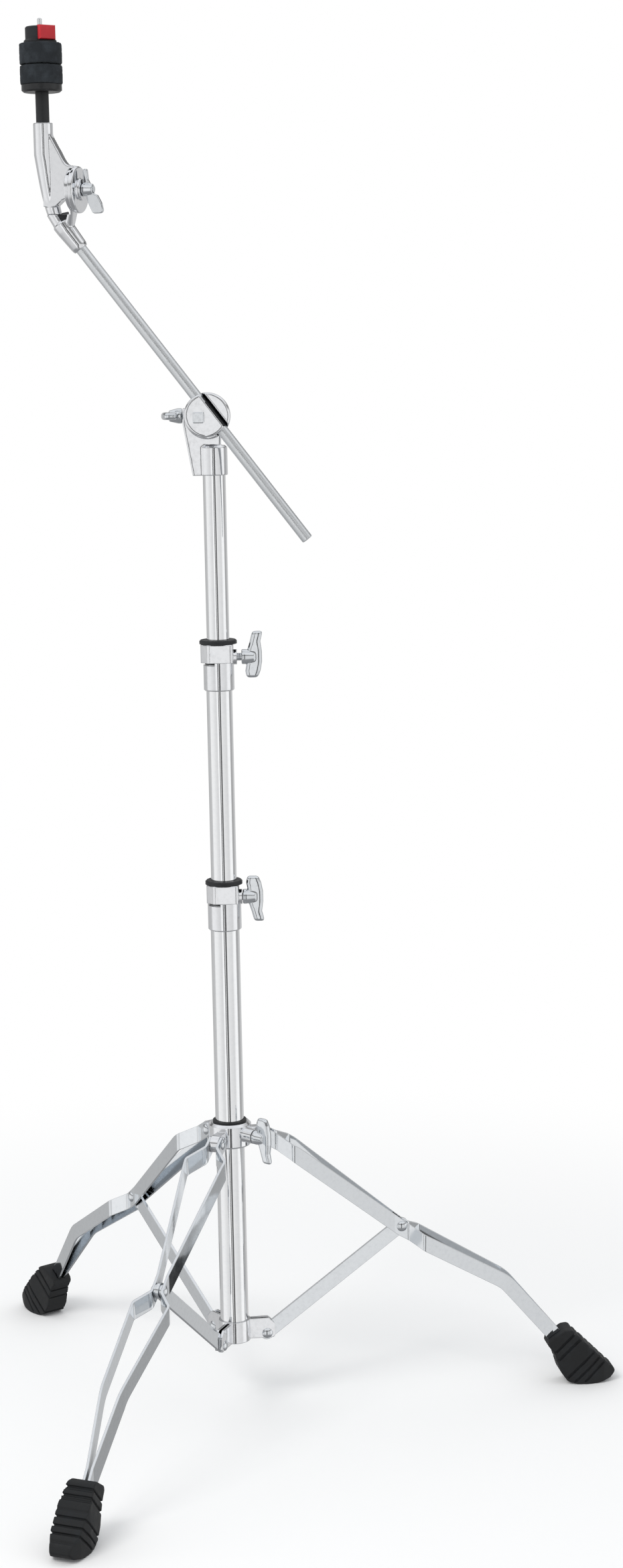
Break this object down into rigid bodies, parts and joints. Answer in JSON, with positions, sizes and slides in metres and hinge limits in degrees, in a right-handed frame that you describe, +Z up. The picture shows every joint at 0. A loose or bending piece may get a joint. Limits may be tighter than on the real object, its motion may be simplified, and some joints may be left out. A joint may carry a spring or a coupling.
{
  "type": "cymbal boom stand",
  "caption": "Folding double-braced tripod stand with telescoping post, tilting boom rod and a felt-cushioned cymbal seat.",
  "frame": {"origin": "the post's axis where it meets the floor, level with the soles of the three feet", "axes": "+Z up along the post; +Y away from the front, the boom rod lies in a plane in front of the post and rises towards -X"},
  "size_m": [0.6445, 0.6886, 1.3766],
  "materials": {
    "chrome_tube": "polished",
    "chrome_cast": "polished",
    "chrome_bar": "polished",
    "chrome_small": "polished",
    "rod_steel": "fine knurl",
    "black_nylon": "matte",
    "black_rubber": "matte",
    "black_felt": "felted",
    "black_plastic": "satin",
    "red_plastic": "gloss",
    "seat_steel": "satin"
  },
  "bodies": {
    "stand": {"base_tube": "chrome_tube", "lower_joint": "chrome_cast", "lower_joint_bush": "black_nylon", "lower_collar": "chrome_cast", "lower_collar_rivets": "chrome_small"},
    "right_brace": {"right_brace": "chrome_bar"},
    "rear_brace": {"rear_brace": "chrome_bar"},
    "front_brace": {"front_brace": "chrome_bar"},
    "right_leg": {"right_leg_left_bar": "chrome_bar", "right_leg_right_bar": "chrome_bar", "right_foot": "black_rubber", "right_leg_rivet": "chrome_small", "right_leg_spacers": "chrome_small"},
    "rear_leg": {"rear_leg_left_bar": "chrome_bar", "rear_leg_right_bar": "chrome_bar", "rear_foot": "black_rubber", "rear_leg_rivet": "chrome_small", "rear_leg_spacers": "chrome_small"},
    "front_leg": {"front_leg_left_bar": "chrome_bar", "front_leg_right_bar": "chrome_bar", "front_foot": "black_rubber", "front_leg_rivet": "chrome_small", "front_leg_spacers": "chrome_small"},
    "leg_collar": {"leg_collar": "chrome_cast", "leg_collar_bush": "black_nylon", "leg_collar_rivets": "chrome_small"},
    "collar_bolt": {"leg_collar_t_bolt": "chrome_small"},
    "lower_bolt": {"lower_joint_t_bolt": "chrome_small"},
    "middle_guide": {"middle_tube_guide": "black_nylon"},
    "middle_post": {"middle_tube": "chrome_tube", "upper_joint": "chrome_cast", "upper_joint_bush": "black_nylon"},
    "upper_bolt": {"upper_joint_t_bolt": "chrome_small"},
    "upper_guide": {"upper_tube_guide": "black_nylon"},
    "upper_post": {"upper_tube": "chrome_tube", "boom_holder": "chrome_cast"},
    "boom_bolt": {"boom_t_bolt": "chrome_small"},
    "boom_clamp": {"tilt_disc": "chrome_cast", "tilt_jaw": "chrome_cast", "tilt_jaw_bolt": "chrome_small", "tilt_pivot_nut": "chrome_small"},
    "boom_sleeve": {"boom_liner": "black_nylon"},
    "boom": {"boom_rod": "rod_steel", "tilter_socket": "chrome_cast", "tilter_plug": "black_nylon", "tilter_bolt": "chrome_small"},
    "wing_nut": {"tilter_wing_nut": "chrome_small"},
    "cymbal_arm": {"tilter_neck": "chrome_cast", "cymbal_rod": "rod_steel", "cymbal_sleeve": "black_nylon", "seat_cup": "seat_steel", "lower_felt": "black_felt", "upper_felt": "black_felt"},
    "mate": {"mate_body": "black_plastic"},
    "button": {"mate_button": "red_plastic"}
  },
  "joints": [
    {"name": "leg_fold", "type": "hinge", "parent": "stand", "child": "right_brace", "pos_m": [0.03268, 0.00457, 0.075], "axis": [0.1385, -0.9904, 0], "range_deg": [-6, 44]},
    {"name": "right_leg_pin", "type": "hinge", "parent": "right_brace", "child": "right_leg", "pos_m": [0.17183, 0.02403, 0.18], "axis": [-0.1385, 0.9904, 0], "range_deg": [-12, 88]},
    {"name": "collar_pin", "type": "hinge", "parent": "right_leg", "child": "leg_collar", "pos_m": [0.03268, 0.00457, 0.285], "axis": [0.1385, -0.9904, 0], "range_deg": [-6, 44]},
    {"name": "rear_leg_pin", "type": "hinge", "parent": "leg_collar", "child": "rear_leg", "pos_m": [-0.0203, 0.02602, 0.285], "axis": [-0.7884, -0.6151, 0], "range_deg": [-6, 44]},
    {"name": "rear_brace_pin", "type": "hinge", "parent": "stand", "child": "rear_brace", "pos_m": [-0.0203, 0.02602, 0.075], "axis": [0.7884, 0.6151, 0], "range_deg": [-6, 44]},
    {"name": "front_leg_pin", "type": "hinge", "parent": "leg_collar", "child": "front_leg", "pos_m": [-0.01238, -0.03059, 0.285], "axis": [0.9269, -0.3753, 0], "range_deg": [-6, 44]},
    {"name": "front_brace_pin", "type": "hinge", "parent": "stand", "child": "front_brace", "pos_m": [-0.01238, -0.03059, 0.075], "axis": [-0.9269, 0.3753, 0], "range_deg": [-6, 44]},
    {"name": "collar_bolt_turn", "type": "hinge", "parent": "leg_collar", "child": "collar_bolt", "pos_m": [0.02527, -0.02275, 0.2895], "axis": [0.7431, -0.6691, 0], "continuous": true},
    {"name": "lower_bolt_turn", "type": "hinge", "parent": "stand", "child": "lower_bolt", "pos_m": [0.018, 0, 0.5301], "axis": [1, 0, 0], "continuous": true},
    {"name": "middle_slide", "type": "slide", "parent": "stand", "child": "middle_guide", "axis": [0, 0, 1], "range_m": [-0.186, 0.09]},
    {"name": "middle_turn", "type": "hinge", "parent": "middle_guide", "child": "middle_post", "pos_m": [0, 0, 0.3635], "axis": [0, 0, 1], "continuous": true},
    {"name": "upper_bolt_turn", "type": "hinge", "parent": "middle_post", "child": "upper_bolt", "pos_m": [0.018, 0, 0.7696], "axis": [1, 0, 0], "continuous": true},
    {"name": "upper_slide", "type": "slide", "parent": "middle_post", "child": "upper_guide", "axis": [0, 0, 1], "range_m": [-0.158, 0.09]},
    {"name": "upper_turn", "type": "hinge", "parent": "upper_guide", "child": "upper_post", "pos_m": [0, 0, 0.603], "axis": [0, 0, 1], "continuous": true},
    {"name": "boom_bolt_turn", "type": "hinge", "parent": "upper_post", "child": "boom_bolt", "pos_m": [-0.033, 0.0024, 1.0046], "axis": [-1, 0, 0], "continuous": true},
    {"name": "boom_tilt", "type": "hinge", "parent": "upper_post", "child": "boom_clamp", "pos_m": [-0.0045, 0, 1.0046], "axis": [0, 1, 0], "range_deg": [-73, 36]},
    {"name": "boom_turn", "type": "hinge", "parent": "boom_clamp", "child": "boom_sleeve", "pos_m": [0, -0.025, 1.004], "axis": [0.6007, 0, -0.7995], "continuous": true},
    {"name": "boom_slide", "type": "slide", "parent": "boom_sleeve", "child": "boom", "axis": [-0.6007, 0, 0.7995], "range_m": [-0.17, 0.125]},
    {"name": "wing_nut_turn", "type": "hinge", "parent": "boom", "child": "wing_nut", "pos_m": [-0.1095, -0.03891, 1.218], "axis": [0.9511, -0.309, 0], "continuous": true},
    {"name": "cymbal_tilt", "type": "hinge", "parent": "boom", "child": "cymbal_arm", "pos_m": [-0.1523, -0.025, 1.218], "axis": [0.9511, -0.309, 0], "range_deg": [-90, 90]},
    {"name": "mate_pull_off", "type": "slide", "parent": "cymbal_arm", "child": "mate", "axis": [0, 0, 1], "range_m": [0, 0.024]},
    {"name": "button_press", "type": "slide", "parent": "mate", "child": "button", "axis": [-0.5736, 0.8192, 0], "range_m": [0, 0.0022], "stiffness_N_per_m": 400, "springref_m": -0.003}
  ],
  "couplings": [
    {"joint": "right_leg_pin", "follows": "leg_fold", "ratio": 2},
    {"joint": "collar_pin", "follows": "leg_fold", "ratio": 1},
    {"joint": "rear_leg_pin", "follows": "leg_fold", "ratio": 1},
    {"joint": "rear_brace_pin", "follows": "leg_fold", "ratio": 1},
    {"joint": "front_leg_pin", "follows": "leg_fold", "ratio": 1},
    {"joint": "front_brace_pin", "follows": "leg_fold", "ratio": 1}
  ]
}
